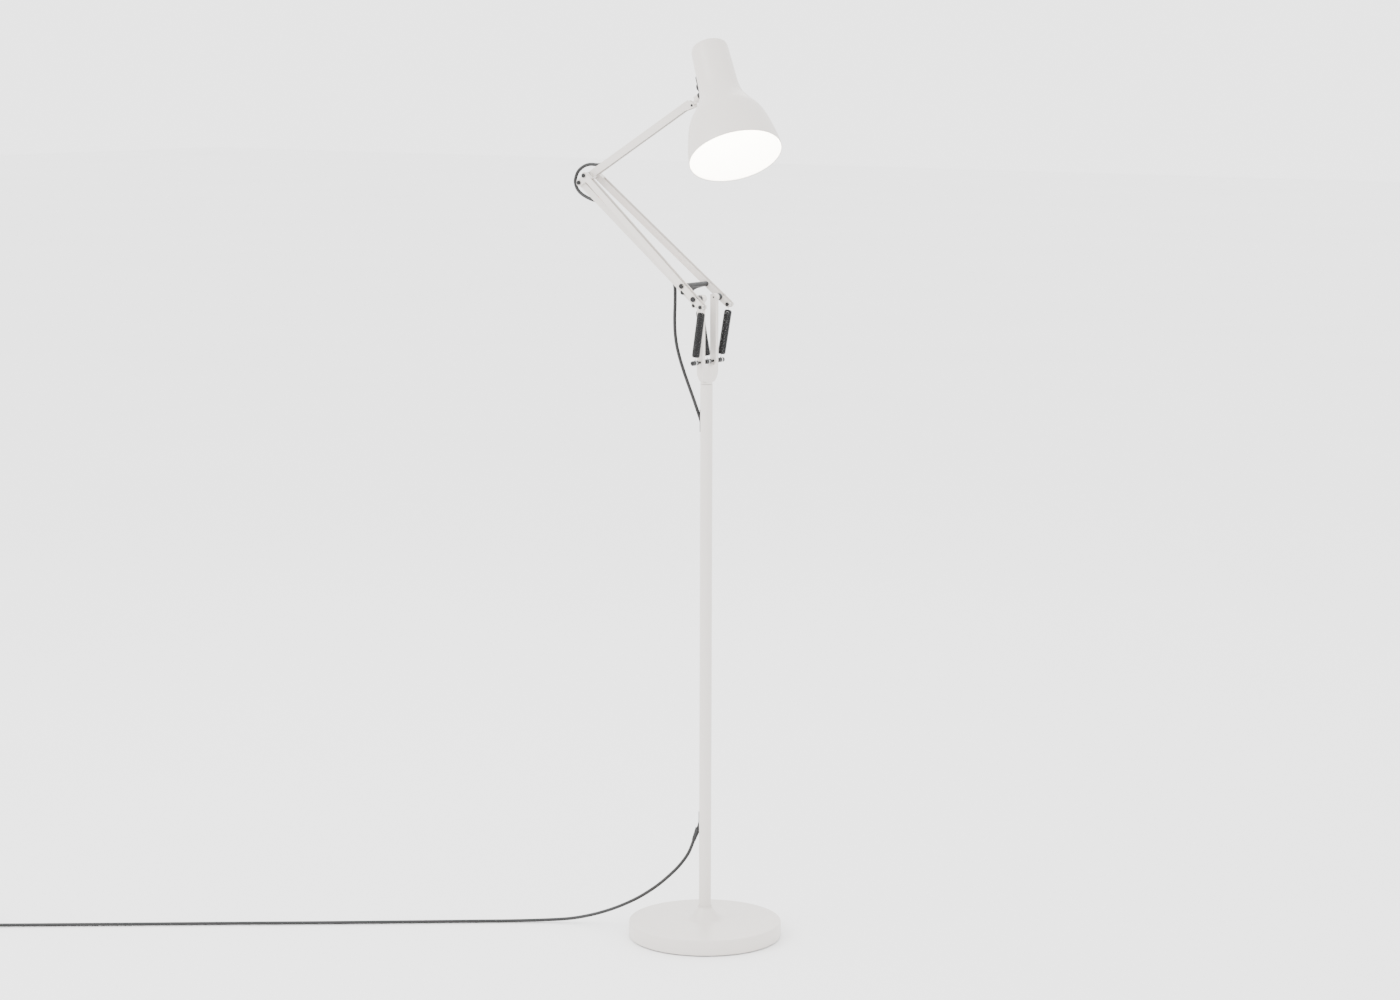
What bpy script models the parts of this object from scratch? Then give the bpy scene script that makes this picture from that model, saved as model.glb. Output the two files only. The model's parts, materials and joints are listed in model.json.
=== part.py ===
"""Adjustable arm floor lamp: weighted base and pole, swivelling fork, sprung parallelogram arm, upper arm and shade.

Row frame: metres, +Z up, origin at the centre of the base's underside. The arms move in the XZ plane: the elbow is
on the -X side, the shade comes back towards +X, and -Y is the near side.
"""
import math

import bmesh
import bpy
from mathutils import Matrix, Vector

MM = 0.001
GAP = 0.3 * MM

# Base and pole
PAD_RADIUS = 128 * MM
PAD_THICKNESS = 2.5 * MM
WEIGHT_RADIUS = 130.5 * MM
WEIGHT_TOP = 25 * MM
SOCKET_FLOOR = 12 * MM
POLE_RADIUS = 10.75 * MM
POLE_BORE = 9.5 * MM
POLE_TOP = 989.7 * MM
SLOT_WIDTH = 10 * MM
SLOT_HEIGHT = 40 * MM
LOWER_SLOT_Z = 206 * MM
UPPER_SLOT_Z = 925 * MM

# Fork
FORK_BOTTOM = 990.3 * MM
BOSS_RADIUS = 10.4 * MM
BOSS_TOP = 1021 * MM
FORK_X = 2 * MM
FORK_DEPTH = 12 * MM
PRONG_OUTER = 24 * MM
PRONG_INNER = 16 * MM
PRONG_EYE = 6.8 * MM
SPINDLE_RADIUS = 5 * MM
PIVOT_TIP = 1.5 * MM
RUNNING_FIT = 0.1 * MM
ANCHOR = Vector((2.4, 0, 1029.6)) * MM
ANCHOR_ROD = 2.2 * MM
SLEEVE_RADIUS = 4.2 * MM
SLEEVE_LENGTH = 16 * MM
SPRING_SPREAD = 39 * MM

# Arms: angles are measured in the XZ plane from +X towards +Z
PIVOT = Vector((3, 0, 1140.5)) * MM
LOWER_ANGLE = math.radians(141)
LOWER_LENGTH = 326 * MM
UPPER_ANGLE = math.radians(31)
CRANK = Vector((-20.5, 0, -13.5)) * MM
BAR_HEIGHT = 11.5 * MM
BAR_WIDTH = 10 * MM
BAR_WALL = 1.2 * MM
BAR_SPREAD_PIVOT = 39.6 * MM
BAR_SPREAD_ELBOW = 17 * MM
SPRING_BOLT_X = -20.3 * MM
SPREADER_X = 34 * MM
CLAMP_X = 36 * MM
CLAMP_Z = 2.1 * MM
UPPER_HEIGHT = 13 * MM
TILT_X = 254 * MM
TILT_Z = -6 * MM
HEAD_TILT = math.radians(1)
LEVER_INNER = 12.9 * MM
LEVER_OUTER = 15.6 * MM
LEVER_PIN_HEAD = 3.3 * MM
BIG_BOLT = 3 * MM
SMALL_BOLT = 2 * MM

# Springs
SPRING_RADIUS = 7.2 * MM
SPRING_LENGTH = 80 * MM
HOOK_WIRE = 0.8 * MM
TOP_HOOK = 3.7 * MM
BOTTOM_HOOK = 4.3 * MM

# Head: the shade turns about the arm's own line, and SHADE_TURN is how far it is turned in the rest pose
SHADE_REACH = 63 * MM
SHADE_TURN = math.radians(18.5)
NECK_ABOVE = 76 * MM
OPENING_BELOW = 146 * MM
OPENING_RADIUS = 80.5 * MM
MOUNT_RADIUS = 34.2 * MM

# Cord
CORD_RADIUS = 3 * MM
COIL_CENTRE = Vector((-1130, -710, 0)) * MM
COIL_MEAN = 33 * MM
COIL_HALF_WIDTH = 6.4 * MM
COIL_BOTTOM = 1.6 * MM
COIL_HEIGHT = 18 * MM
RUN_DIRECTION = Vector((-0.78, -0.626, 0))
SIDE_DIRECTION = Vector((-0.626, 0.78, 0))

COLLECTION_NAME = "adjustable_arm_floor_lamp"
WHITE_PAINT = ((0.84, 0.81, 0.77), 0.42, 0.0)
BLACK_PLASTIC = ((0.018, 0.018, 0.02), 0.45, 0.0)
BLACK_STEEL = ((0.03, 0.03, 0.032), 0.38, 0.9)
BRIGHT_STEEL = ((0.72, 0.72, 0.73), 0.25, 1.0)
CAST_IRON = ((0.12, 0.12, 0.12), 0.7, 0.6)
FABRIC_BLACK = ((0.012, 0.012, 0.014), 0.85, 0.0)
RED_STRIP = ((0.75, 0.13, 0.07), 0.45, 0.0)
OPAL_GLASS = ((0.96, 0.93, 0.86), 0.3, 0.0)
BRASS = ((0.75, 0.58, 0.28), 0.3, 1.0)


def clear_scene():
    for old in list(bpy.data.objects):
        bpy.data.objects.remove(old, do_unlink=True)


def new_collection(name):
    made = bpy.data.collections.new(name)
    bpy.context.scene.collection.children.link(made)
    return made


clear_scene()
PARTS = new_collection(COLLECTION_NAME)
CUTTERS = new_collection("cutters")


def paint(node, finish):
    """Each sub-part has a material of its own."""
    colour, roughness, metallic = finish
    material = bpy.data.materials.new(node.name + "_material")
    material.use_nodes = True
    shader = material.node_tree.nodes["Principled BSDF"]
    shader.inputs["Base Color"].default_value = (*colour, 1.0)
    shader.inputs["Roughness"].default_value = roughness
    shader.inputs["Metallic"].default_value = metallic
    node.data.materials.clear()
    node.data.materials.append(material)


def smooth(mesh):
    mesh.shade_smooth()
    mesh.set_sharp_from_angle(angle=math.radians(35))


def add(name, data, parent, place, finish):
    """Links a part at a local matrix under its parent; finish None makes a cutter."""
    node = bpy.data.objects.new(name, data)
    (CUTTERS if finish is None else PARTS).objects.link(node)
    node.parent = parent
    node.matrix_local = place
    if finish is None:
        node.hide_render = True
        node.display_type = "WIRE"
    else:
        paint(node, finish)
    return node


def empty(name, parent, place):
    node = bpy.data.objects.new(name, None)
    PARTS.objects.link(node)
    node.parent = parent
    node.matrix_local = place
    return node


def at(x=0.0, y=0.0, z=0.0):
    return Matrix.Translation((x, y, z))


def along_y(place):
    """Turns a shape made along +Z so that it points along +Y."""
    return place @ Matrix.Rotation(math.radians(-90), 4, "X")


def along_x(place):
    return place @ Matrix.Rotation(math.radians(90), 4, "Y")


def cylinder(name, radius, length, parent, place, finish, sides=24):
    """A cylinder centred on its place, along local Z."""
    mesh = bpy.data.meshes.new(name)
    shape = bmesh.new()
    bmesh.ops.create_cone(
        shape, cap_ends=True, segments=sides, radius1=radius, radius2=radius, depth=length
    )
    shape.to_mesh(mesh)
    shape.free()
    smooth(mesh)
    return add(name, mesh, parent, place, finish)


def block(name, size, parent, place, finish):
    mesh = bpy.data.meshes.new(name)
    shape = bmesh.new()
    bmesh.ops.create_cube(shape, size=1.0, matrix=Matrix.Diagonal((*size, 1.0)))
    shape.to_mesh(mesh)
    shape.free()
    return add(name, mesh, parent, place, finish)


def torus(name, major, minor, parent, place, finish, steps=16, sides=6):
    ring = [
        (major + minor * math.cos(-math.tau * i / sides), minor * math.sin(-math.tau * i / sides))
        for i in range(sides)
    ]
    return turned(name, ring, parent, place, finish, steps, closed=True)


def turned(name, profile, parent, place, finish, steps=32, closed=False):
    """Turns (radius, height) points about local Z; the points run down the outer side."""
    mesh = bpy.data.meshes.new(name)
    points = [(radius, 0.0, height) for radius, height in profile]
    edges = [(i, i + 1) for i in range(len(points) - 1)]
    if closed:
        edges.append((len(points) - 1, 0))
    mesh.from_pydata(points, edges, [])
    node = add(name, mesh, parent, place, finish)
    screw = node.modifiers.new("Screw", "SCREW")
    screw.steps = steps
    screw.render_steps = steps
    screw.use_merge_vertices = True
    screw.merge_threshold = 0.00001
    screw.use_smooth_shade = True
    return node


def evaluated_mesh(node):
    bpy.context.view_layer.update()
    return bpy.data.meshes.new_from_object(node.evaluated_get(bpy.context.evaluated_depsgraph_get()))


def plate(name, outline, thickness, parent, place, finish):
    """A flat outline of (x, z) points in the local XZ plane, with its thickness along local Y."""
    curve = bpy.data.curves.new(name + "_outline", "CURVE")
    curve.dimensions = "2D"
    curve.fill_mode = "BOTH"
    curve.extrude = thickness / 2
    spline = curve.splines.new("POLY")
    spline.points.add(len(outline) - 1)
    for point, (x, z) in zip(spline.points, outline):
        point.co = (x, z, 0, 1)
    spline.use_cyclic_u = True
    guide = bpy.data.objects.new(name + "_outline", curve)
    PARTS.objects.link(guide)
    mesh = evaluated_mesh(guide)
    bpy.data.objects.remove(guide)
    mesh.transform(Matrix.Rotation(math.radians(90), 4, "X"))
    shape = bmesh.new()
    shape.from_mesh(mesh)
    bmesh.ops.remove_doubles(shape, verts=shape.verts, dist=0.000001)
    bmesh.ops.recalc_face_normals(shape, faces=shape.faces)
    shape.to_mesh(mesh)
    shape.free()
    smooth(mesh)
    return add(name, mesh, parent, place, finish)


def arc(x, z, radius, start, end, steps):
    """Points of an arc in the XZ plane, angles in degrees."""
    return [
        (
            x + radius * math.cos(math.radians(start + (end - start) * i / steps)),
            z + radius * math.sin(math.radians(start + (end - start) * i / steps)),
        )
        for i in range(steps + 1)
    ]


def stadium(start, end, radius, steps=8):
    """The outline of a bar from x = start to x = end with round ends."""
    return arc(end, 0, radius, -90, 90, steps) + arc(start, 0, radius, 90, 270, steps)


def boolean(node, other, operation):
    change = node.modifiers.new(operation.title(), "BOOLEAN")
    change.operation = operation
    change.solver = "EXACT"
    change.object = other


def cut(node, *cutters):
    for cutter in cutters:
        boolean(node, cutter, "DIFFERENCE")


def join(node, *others):
    for other in others:
        boolean(node, other, "UNION")


def hole_y(name, radius, x, z, parent, length=140 * MM):
    return cylinder(name, radius, length, parent, along_y(at(x, 0, z)), None, sides=20)


def smooth_route(points, spacing):
    """Points at about the spacing along a smooth curve through the route's own points."""
    ends = [points[0] * 2 - points[1]] + list(points) + [points[-1] * 2 - points[-2]]
    fine = []
    for a, b, c, d in zip(ends, ends[1:], ends[2:], ends[3:]):
        for i in range(24):
            t = i / 24
            fine.append(
                (b * 2 + (c - a) * t + (a * 2 - b * 5 + c * 4 - d) * t * t + (b * 3 - a - c * 3 + d) * t ** 3) / 2
            )
    fine.append(points[-1])
    travelled = [0.0]
    for a, b in zip(fine, fine[1:]):
        travelled.append(travelled[-1] + (b - a).length)
    count = max(3, round(travelled[-1] / spacing))
    route = []
    index = 0
    for i in range(count + 1):
        target = travelled[-1] * i / count
        while index < len(fine) - 2 and travelled[index + 1] < target:
            index += 1
        share = (target - travelled[index]) / (travelled[index + 1] - travelled[index])
        route.append(fine[index].lerp(fine[index + 1], share))
    return route


def tube(name, points, spacing, finish=FABRIC_BLACK):
    """A cord along world points."""
    route = smooth_route(points, spacing)
    curve = bpy.data.curves.new(name, "CURVE")
    curve.dimensions = "3D"
    curve.bevel_depth = CORD_RADIUS
    curve.bevel_resolution = 2
    curve.use_fill_caps = True
    spline = curve.splines.new("POLY")
    spline.points.add(len(route) - 1)
    for point, place in zip(spline.points, route):
        point.co = (*place, 1)
    return add(name, curve, None, Matrix.Identity(4), finish)


# Joint frames. In the lower arm's frame X runs to the elbow and +Z is the underside; in the upper arm's +Z is the top.
SWIVEL = empty("swivel_axis", None, at(0, 0, POLE_TOP))
LOWER_FRAME = empty(
    "main_pivot_axis", None, Matrix.Translation(PIVOT) @ Matrix.Rotation(-LOWER_ANGLE, 4, "Y")
)
ELBOW = PIVOT + Vector((math.cos(LOWER_ANGLE), 0, math.sin(LOWER_ANGLE))) * LOWER_LENGTH
UPPER_FRAME = empty(
    "elbow_axis", None, Matrix.Translation(ELBOW) @ Matrix.Rotation(-UPPER_ANGLE, 4, "Y")
)
LINK_FRAME = empty(
    "link_pin_axis", None, Matrix.Translation(PIVOT + CRANK) @ Matrix.Rotation(-LOWER_ANGLE, 4, "Y")
)
HEAD_FRAME = empty("tilt_axis", UPPER_FRAME, at(TILT_X, 0, TILT_Z) @ Matrix.Rotation(HEAD_TILT, 4, "Y"))
HEAD_ANGLE = UPPER_ANGLE - HEAD_TILT
SHADE_LINE = Vector((math.cos(HEAD_ANGLE), 0, math.sin(HEAD_ANGLE)))
SHADE_DOWN = Vector((math.sin(HEAD_ANGLE), 0, -math.cos(HEAD_ANGLE))) * math.cos(SHADE_TURN) + Vector(
    (0, -math.sin(SHADE_TURN), 0)
)
TILT_POINT = ELBOW + Matrix.Rotation(-UPPER_ANGLE, 3, "Y") @ Vector((TILT_X, 0, TILT_Z))
SHADE_CENTRE = TILT_POINT + SHADE_LINE * SHADE_REACH + Vector((-SHADE_LINE.z, 0, SHADE_LINE.x)) * -TILT_Z
SHADE_SIDE = (-SHADE_DOWN).cross(SHADE_LINE)
SHADE_FRAME = empty(
    "shade_axis",
    None,
    Matrix.Translation(SHADE_CENTRE)
    @ Matrix((SHADE_LINE, SHADE_SIDE, -SHADE_DOWN)).transposed().to_4x4(),
)
TAIL_FRAMES = {}


def make_base():
    turned("base_pad", [(0, PAD_THICKNESS), (PAD_RADIUS, PAD_THICKNESS), (PAD_RADIUS, 0), (0, 0)],
           None, at(), BLACK_PLASTIC, steps=48)
    socket = POLE_RADIUS + GAP
    weight = [
        (socket, WEIGHT_TOP), (WEIGHT_RADIUS - 1.5 * MM, WEIGHT_TOP), (WEIGHT_RADIUS, WEIGHT_TOP - 1.5 * MM),
        (WEIGHT_RADIUS, PAD_THICKNESS + GAP), (11 * MM, PAD_THICKNESS + GAP), (11 * MM, 9.8 * MM),
        (4.4 * MM, 9.8 * MM), (4.4 * MM, SOCKET_FLOOR), (socket, SOCKET_FLOOR),
    ]
    turned("base_weight", weight, None, at(), CAST_IRON, steps=32, closed=True)
    bolt = [(0, 30 * MM), (4 * MM, 30 * MM), (4 * MM, 9.4 * MM), (9 * MM, 9.4 * MM), (9 * MM, 3.1 * MM), (0, 3.1 * MM)]
    turned("base_bolt", bolt, None, at(), BLACK_STEEL, steps=16)
    cover = [
        (11.15, 55), (12.6, 55), (12.6, 52), (14.5, 49.3), (22, 40.2), (28, 33), (31.5, 30.6), (36, 29.9),
        (131, 29.3), (134.2, 28.5), (135.4, 26.9), (135.7, 25), (135.7, 4), (134.9, 1.8), (133.5, 1.0),
        (131.9, 1.8), (131.9, 24.4), (130, 26.1), (36, 27.1), (30, 28.3), (25.5, 31.8), (19, 40), (13.5, 47), (11.15, 49),
    ]
    turned("base_cover", [(r * MM, z * MM) for r, z in cover], None, at(), WHITE_PAINT, steps=48, closed=True)


def pole_slot(name, height):
    middle = at(-POLE_RADIUS, 0, height)
    slot = block(name, (8 * MM, SLOT_WIDTH, SLOT_HEIGHT), None, middle, None)
    return slot


def grommet(name, height):
    """A rubber bush in the edge of a cord slot."""
    outer = (2.6 * MM, SLOT_WIDTH - 2 * GAP, SLOT_HEIGHT - 2 * GAP)
    bush = block(name, outer, None, at(-POLE_RADIUS + 0.9 * MM, 0, height), BLACK_PLASTIC)
    inner = (10 * MM, 2 * CORD_RADIUS + 1.3 * MM, SLOT_HEIGHT - 3.4 * MM)
    cut(bush, block(name + "_opening", inner, None, at(-POLE_RADIUS, 0, height), None))


def make_pole():
    ring = [(POLE_BORE, POLE_TOP), (POLE_RADIUS, POLE_TOP), (POLE_RADIUS, SOCKET_FLOOR + GAP), (POLE_BORE, SOCKET_FLOOR + GAP)]
    pole = turned("pole", ring, None, at(), WHITE_PAINT, steps=32, closed=True)
    cut(pole, pole_slot("lower_slot", LOWER_SLOT_Z), pole_slot("upper_slot", UPPER_SLOT_Z))
    grommet("cord_grommet_lower", LOWER_SLOT_Z)
    grommet("cord_grommet_upper", UPPER_SLOT_Z)
    foot = [(4.4 * MM, 32 * MM), (9.2 * MM, 32 * MM), (9.2 * MM, 12.9 * MM), (4.4 * MM, 12.9 * MM)]
    turned("pole_foot", foot, None, at(), BLACK_STEEL, steps=20, closed=True)
    inner = SPINDLE_RADIUS + RUNNING_FIT
    bush = [(inner, 989 * MM), (9.2 * MM, 989 * MM), (9.2 * MM, 960 * MM), (inner, 960 * MM)]
    turned("pole_bush", bush, None, at(), BLACK_PLASTIC, steps=24, closed=True)


def fork_outline():
    """Half of the fork seen along X, then mirrored: rounded shoulders that narrow into the boss."""
    half = (
        [(11 * MM, 994 * MM), (15 * MM, 996 * MM), (19.5 * MM, 1001 * MM), (22.8 * MM, 1007 * MM), (24 * MM, 1013 * MM)]
        + [(PRONG_OUTER, PIVOT.z + 5 * MM), (PRONG_INNER, PIVOT.z + 5 * MM), (PRONG_INNER, 1032 * MM)]
        + arc(9 * MM, 1030 * MM, 7 * MM, 0, -90, 4)
    )
    return half + [(-y, z) for y, z in reversed(half)]


def make_fork():
    fork = plate("fork", fork_outline(), FORK_DEPTH, None,
                 at(FORK_X, 0, 0) @ Matrix.Rotation(math.radians(90), 4, "Z"), WHITE_PAINT)
    boss = cylinder("fork_boss", BOSS_RADIUS, BOSS_TOP - FORK_BOTTOM, None,
                    at(0, 0, (BOSS_TOP + FORK_BOTTOM) / 2), None, sides=32)
    join(fork, boss)
    for side, sign in (("near", -1), ("far", 1)):
        middle = (PRONG_OUTER + PRONG_INNER) / 2 * sign
        eye = cylinder("fork_eye_" + side, PRONG_EYE, PRONG_OUTER - PRONG_INNER + 0.4 * MM, None,
                       along_y(at(PIVOT.x, middle, PIVOT.z)), None, sides=24)
        join(fork, eye)
    bore = cylinder("spindle_bore", SPINDLE_RADIUS + GAP, 44 * MM, None, at(0, 0, FORK_BOTTOM), None)
    cut(fork, bore, hole_y("anchor_hole", ANCHOR_ROD + GAP, ANCHOR.x, ANCHOR.z, None))
    near_hole = cylinder("fork_near_hole", BIG_BOLT + GAP, 20 * MM, None,
                         along_y(at(PIVOT.x, -PRONG_OUTER, PIVOT.z)), None, sides=20)
    far_hole = cylinder("fork_far_hole", BIG_BOLT + GAP, 20 * MM, None,
                        along_y(at(PIVOT.x, PRONG_INNER + 1.2 * MM + 10 * MM, PIVOT.z)), None, sides=20)
    tip_hole = cylinder("fork_tip_hole", PIVOT_TIP + GAP, 10 * MM, None,
                        along_y(at(PIVOT.x, PRONG_INNER, PIVOT.z)), None, sides=16)
    cut(fork, near_hole, far_hole, tip_hole)
    spindle = [(0, 1011 * MM), (SPINDLE_RADIUS, 1011 * MM), (SPINDLE_RADIUS, 959.6 * MM), (7.5 * MM, 959.6 * MM),
               (7.5 * MM, 954 * MM), (0, 954 * MM)]
    turned("swivel_spindle", spindle, None, at(), BLACK_STEEL, steps=24)


def make_anchors():
    cylinder("anchor_rod", ANCHOR_ROD, 2 * (SPRING_SPREAD + SLEEVE_LENGTH / 2) + 0.6 * MM, None,
             along_y(Matrix.Translation(ANCHOR)), BLACK_STEEL, sides=16)
    half = SLEEVE_LENGTH / 2
    bore = ANCHOR_ROD + GAP
    sleeve = [(bore, half), (3.6 * MM, half), (SLEEVE_RADIUS, half - 0.8 * MM), (SLEEVE_RADIUS, 2.6 * MM), (3.1 * MM, 1.5 * MM),
              (3.1 * MM, -1.5 * MM), (SLEEVE_RADIUS, -2.6 * MM), (SLEEVE_RADIUS, 0.8 * MM - half), (3.6 * MM, -half), (bore, -half)]
    for name, y in (("near", -SPRING_SPREAD), ("middle", 0), ("far", SPRING_SPREAD)):
        turned("anchor_sleeve_" + name, sleeve, None, along_y(at(ANCHOR.x, y, ANCHOR.z)), BLACK_PLASTIC,
               steps=16, closed=True)


def bolt(name, shank, start, end, head, head_height, parent, place, finish, grip_end=None):
    """A bolt along local Z: its head below start, and a second head beyond grip_end if it is given."""
    dome = head - 1.0 * MM
    lower = [(shank, start), (head, start), (head, start - head_height + 1.0 * MM), (dome, start - head_height),
             (0, start - head_height)]
    top = [(0, end), (shank, end)]
    if grip_end is not None:
        top = [(0, grip_end + head_height), (dome, grip_end + head_height), (head, grip_end + head_height - 1.0 * MM),
               (head, grip_end), (shank, grip_end)]
    return turned(name, top + lower, parent, place, finish, steps=14)


def nut(name, inner, outer, low, high, parent, place, finish):
    ring = [(inner, high), (outer, high), (outer, low), (inner, low)]
    return turned(name, ring, parent, place, finish, steps=12, closed=True)


def bar_frame(side, sign):
    """The frame of a splayed outer bar, in the lower arm's frame."""
    splay = math.atan((BAR_SPREAD_PIVOT - BAR_SPREAD_ELBOW) / LOWER_LENGTH)
    return empty(side + "_bar_axis", LOWER_FRAME,
                 at(0, sign * BAR_SPREAD_PIVOT, 0) @ Matrix.Rotation(-sign * splay, 4, "Z"))


def bar_spread(x):
    """How far an outer bar's middle is from the arm's plane, at x along the arm."""
    return BAR_SPREAD_PIVOT - (BAR_SPREAD_PIVOT - BAR_SPREAD_ELBOW) * x / LOWER_LENGTH


def make_outer_bar(side, sign):
    frame = bar_frame(side, sign)
    length = math.hypot(LOWER_LENGTH, BAR_SPREAD_PIVOT - BAR_SPREAD_ELBOW)
    bar = plate(side + "_bar", stadium(SPRING_BOLT_X, length, BAR_HEIGHT / 2), BAR_WIDTH, frame, at(), WHITE_PAINT)
    inside = BAR_WIDTH - 2 * BAR_WALL
    end = length - 14 * MM
    start = SPRING_BOLT_X - 12 * MM
    groove = block(side + "_groove", (end - start, inside, BAR_HEIGHT), frame,
                   at((start + end) / 2, 0, -BAR_WALL), None)
    tail_end = -11 * MM
    tail = block(side + "_tail_groove", (tail_end - start, inside, 2 * BAR_HEIGHT), frame,
                 at((start + tail_end) / 2, 0, 0), None)
    cut(bar, groove, tail)
    for label, radius, x in (("spring", SMALL_BOLT, SPRING_BOLT_X), ("pivot", BIG_BOLT, 0),
                             ("spreader", SMALL_BOLT, SPREADER_X), ("elbow", BIG_BOLT, LOWER_LENGTH)):
        cut(bar, hole_y(side + "_hole_" + label, radius + GAP, x, 0, LOWER_FRAME))


def make_lower_arm():
    for side, sign in (("near", -1), ("far", 1)):
        make_outer_bar(side, sign)
        low = sign * bar_spread(SPRING_BOLT_X) - BAR_WIDTH / 2 - 0.7 * MM
        high = low + BAR_WIDTH + 1.4 * MM
        turn = along_y(at(SPRING_BOLT_X, 0, 0))
        bolt("spring_bolt_" + side, SMALL_BOLT, low, high + 5.4 * MM, 3.5 * MM, 2.8 * MM, LOWER_FRAME, turn, BLACK_STEEL)
        nut("spring_nut_" + side, SMALL_BOLT + GAP, 4.2 * MM, high, high + 4.2 * MM, LOWER_FRAME, turn, BRIGHT_STEEL)
        washer_low = -bar_spread(0) + BAR_WIDTH / 2 + 0.9 * MM
        flip = along_y(at()) if sign < 0 else along_y(at()) @ Matrix.Rotation(math.pi, 4, "X")
        washer = [(BIG_BOLT + GAP, -PRONG_OUTER - 0.5 * MM), (5.2 * MM, -PRONG_OUTER - 0.5 * MM), (6.3 * MM, -28 * MM),
                  (6.3 * MM, washer_low), (BIG_BOLT + GAP, washer_low)]
        turned("friction_washer_" + side, washer, LOWER_FRAME, flip, BLACK_PLASTIC, steps=24, closed=True)
        spacer = [(BIG_BOLT + GAP, -9.7 * MM), (5.6 * MM, -9.7 * MM), (5.6 * MM, -11.4 * MM), (BIG_BOLT + GAP, -11.4 * MM)]
        elbow_turn = at(LOWER_LENGTH, 0, 0) @ flip
        turned("elbow_washer_" + side, spacer, LOWER_FRAME, elbow_turn, BLACK_PLASTIC, steps=20, closed=True)
    make_spreader()
    make_pivot_bolts()
    grip = bar_spread(LOWER_LENGTH) + BAR_WIDTH / 2 + 0.9 * MM
    bolt("elbow_bolt", BIG_BOLT, -grip, grip + 2 * MM, 3.9 * MM, 2.8 * MM, LOWER_FRAME,
         along_y(at(LOWER_LENGTH, 0, 0)), BLACK_STEEL, grip_end=grip)


def make_pivot_bolts():
    """The near bolt also carries the lever, behind a clip; the far one ends inside its prong."""
    reach = bar_spread(0) + BAR_WIDTH / 2 + 0.9 * MM
    head = [(BIG_BOLT, -reach), (4.7 * MM, -reach), (4.7 * MM, -reach - 2.4 * MM), (3.7 * MM, -reach - 3.4 * MM),
            (0, -reach - 3.4 * MM)]
    clip = LEVER_INNER - GAP
    near = [(0, 1.1 * MM - clip), (4.0 * MM, 1.1 * MM - clip), (4.4 * MM, 0.7 * MM - clip), (4.4 * MM, -clip), (BIG_BOLT, -clip)]
    turned("pivot_bolt_near", near + head, LOWER_FRAME, along_y(at()), BLACK_STEEL, steps=16)
    step = PRONG_INNER + 1.5 * MM
    far = [(0, GAP - PRONG_INNER), (PIVOT_TIP, GAP - PRONG_INNER), (PIVOT_TIP, -step), (BIG_BOLT, -step)]
    turned("pivot_bolt_far", far + head, LOWER_FRAME, along_y(at()) @ Matrix.Rotation(math.pi, 4, "X"), BLACK_STEEL,
           steps=16)


def make_spreader():
    """A tube between the bars with a small web, held by one long bolt."""
    inner = bar_spread(SPREADER_X) - BAR_WIDTH / 2 - 0.7 * MM
    rod = cylinder("spreader", 4.7 * MM, 2 * inner, LOWER_FRAME, along_y(at(SPREADER_X, 0, 0)), BLACK_PLASTIC, sides=20)
    outline = [(1 * MM - inner, 0), (26 * MM, 0), (22 * MM, 4.3 * MM), (3 * MM, 6.2 * MM), (-5.5 * MM, 8.4 * MM),
               (-9.4 * MM, 10.6 * MM), (-19 * MM, 13 * MM), (1 * MM - inner, 13.6 * MM)]
    hanging = Matrix.Rotation(math.radians(-39), 4, "Y") @ Matrix.Rotation(math.radians(90), 4, "Z")
    web = plate("spreader_web", outline, 2.4 * MM, LOWER_FRAME, at(SPREADER_X, 0, 0) @ hanging, None)
    join(rod, web)
    cut(rod, hole_y("spreader_bore", SMALL_BOLT + GAP, SPREADER_X, 0, LOWER_FRAME))
    grip = bar_spread(SPREADER_X) + BAR_WIDTH / 2 + 0.7 * MM
    bolt("spreader_bolt", SMALL_BOLT, -grip, grip, 4.5 * MM, 3.2 * MM, LOWER_FRAME, along_y(at(SPREADER_X, 0, 0)),
         BLACK_STEEL, grip_end=grip)


def make_lever():
    """A plate that turns on the near pivot bolt and carries the link's lower pin."""
    reach = CRANK.length
    place = Matrix.Translation(PIVOT) @ Matrix.Rotation(-math.atan2(CRANK.z, CRANK.x), 4, "Y")
    outline = arc(reach, 0, 4.6 * MM, -85, 85, 8) + arc(0, 0, 6.4 * MM, 85, 275, 12)
    middle = -(LEVER_INNER + LEVER_OUTER) / 2
    lever = plate("lever", outline, LEVER_OUTER - LEVER_INNER, None, place @ at(0, middle, 0), WHITE_PAINT)
    cut(lever, hole_y("lever_bore", BIG_BOLT + GAP, PIVOT.x, PIVOT.z, None),
        hole_y("lever_pin_hole", LEVER_PIN_HEAD + GAP, PIVOT.x + CRANK.x, PIVOT.z + CRANK.z, None))
    grip = BAR_WIDTH / 2 + GAP
    pin = [(0, grip + 3 * MM), (3.2 * MM, grip + 3 * MM), (4.2 * MM, grip + 2 * MM), (4.2 * MM, grip), (SMALL_BOLT, grip),
           (SMALL_BOLT, -grip), (4.2 * MM, -grip), (4.2 * MM, GAP - LEVER_INNER), (LEVER_PIN_HEAD, GAP - LEVER_INNER),
           (LEVER_PIN_HEAD, 0.5 * MM - LEVER_OUTER), (2.6 * MM, GAP - LEVER_OUTER), (0, GAP - LEVER_OUTER)]
    turned("link_lower_pin", pin, LINK_FRAME, along_y(at()), BLACK_STEEL, steps=16)


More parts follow.
